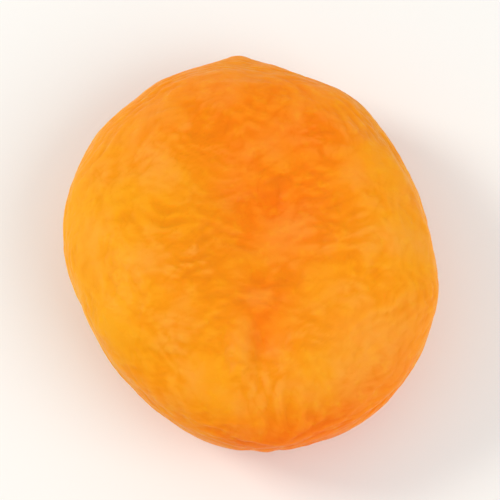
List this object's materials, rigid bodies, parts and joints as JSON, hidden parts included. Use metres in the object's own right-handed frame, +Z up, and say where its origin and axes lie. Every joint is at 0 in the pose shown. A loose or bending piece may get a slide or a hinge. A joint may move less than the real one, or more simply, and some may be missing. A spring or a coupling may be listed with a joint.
{
  "type": "dried apricot",
  "caption": "Whole pitted dried apricot: a plump, wrinkled, dimpled disc of orange fruit with a blossom tip and a closed stem-end slit, resting on a small flat spot.",
  "frame": {"origin": "bottom centre of the fruit, in the plane of the surface that it lies on", "axes": "+Z up out of the dimpled face, +Y along the fruit towards the blossom tip with the stem end at -Y, +X to the right with the tip away from the viewer"},
  "size_m": [0.0368, 0.0408, 0.0148],
  "materials": {
    "apricot_skin": "satin"
  },
  "bodies": {
    "root": {"apricot": "apricot_skin"}
  },
  "joints": []
}
